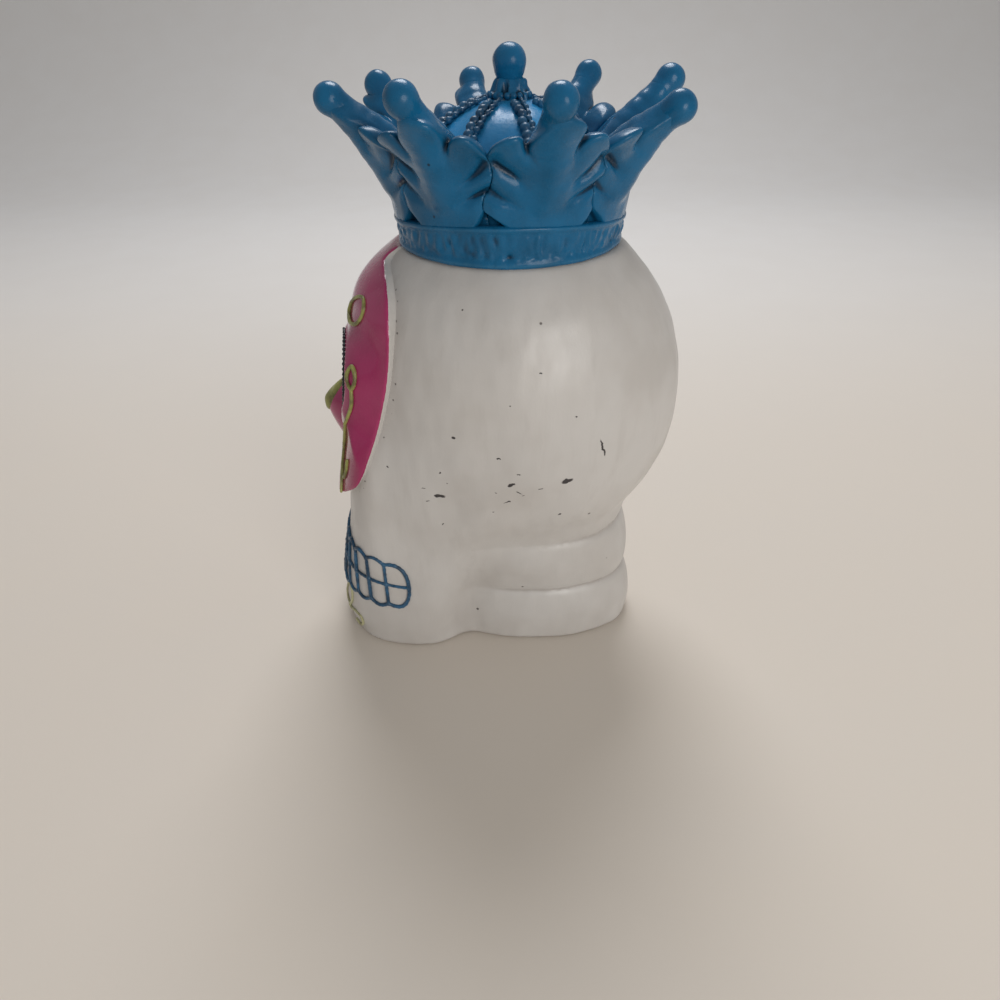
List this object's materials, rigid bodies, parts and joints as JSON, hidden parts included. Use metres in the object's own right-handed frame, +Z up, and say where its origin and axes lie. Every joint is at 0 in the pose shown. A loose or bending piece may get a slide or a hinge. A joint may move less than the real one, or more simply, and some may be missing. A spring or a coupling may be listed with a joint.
{
  "type": "sugar skull ornament",
  "caption": "Standing sugar skull with a raised face mask, piped teeth and scrolls, and a tall leaf crown with a ball on each point.",
  "frame": {"origin": "middle of the flat foot, under the axis of the crown", "axes": "+Z up along the axis of the crown, -Y the way the face looks, +X to the skull's own left"},
  "size_m": [0.0762, 0.0951, 0.1499],
  "materials": {
    "white_paint": "satin white paint on cast resin, with small chips",
    "magenta_enamel": "glossy magenta enamel on cast resin",
    "blue_enamel": "glossy blue enamel on moulded resin",
    "green_piping": "satin yellow-green piped paint",
    "pale_green_piping": "thin pale green piped paint",
    "navy_beads": "glossy near-black piped beads",
    "teal_piping": "satin dark blue piped paint"
  },
  "bodies": {
    "root": {"skull_casting": "white_paint", "mask_panel": "magenta_enamel", "nose_boss": "magenta_enamel", "nose_cap": "green_piping", "teeth_piping": "teal_piping", "eye_ring_left": "navy_beads", "eye_ring_right": "navy_beads", "brow_scroll_left": "green_piping", "brow_scroll_right": "green_piping", "cheek_vine_left": "green_piping", "cheek_vine_right": "green_piping", "chin_scroll_left": "pale_green_piping", "chin_scroll_right": "pale_green_piping", "crown_band": "blue_enamel", "crown_cap": "blue_enamel", "finial_collar": "blue_enamel", "finial_pearl": "blue_enamel", "crown_leaf_1": "blue_enamel", "crown_leaf_2": "blue_enamel", "crown_leaf_3": "blue_enamel", "crown_leaf_4": "blue_enamel", "crown_leaf_5": "blue_enamel", "crown_leaf_6": "blue_enamel", "crown_leaf_7": "blue_enamel", "crown_leaf_8": "blue_enamel", "crown_pearl_1": "blue_enamel", "crown_pearl_2": "blue_enamel", "crown_pearl_3": "blue_enamel", "crown_pearl_4": "blue_enamel", "crown_pearl_5": "blue_enamel", "crown_pearl_6": "blue_enamel", "crown_pearl_7": "blue_enamel", "crown_pearl_8": "blue_enamel", "crown_arch_1": "blue_enamel", "crown_arch_2": "blue_enamel", "crown_arch_3": "blue_enamel", "crown_arch_4": "blue_enamel", "crown_arch_5": "blue_enamel", "crown_arch_6": "blue_enamel", "crown_arch_7": "blue_enamel", "crown_arch_8": "blue_enamel"}
  },
  "joints": []
}
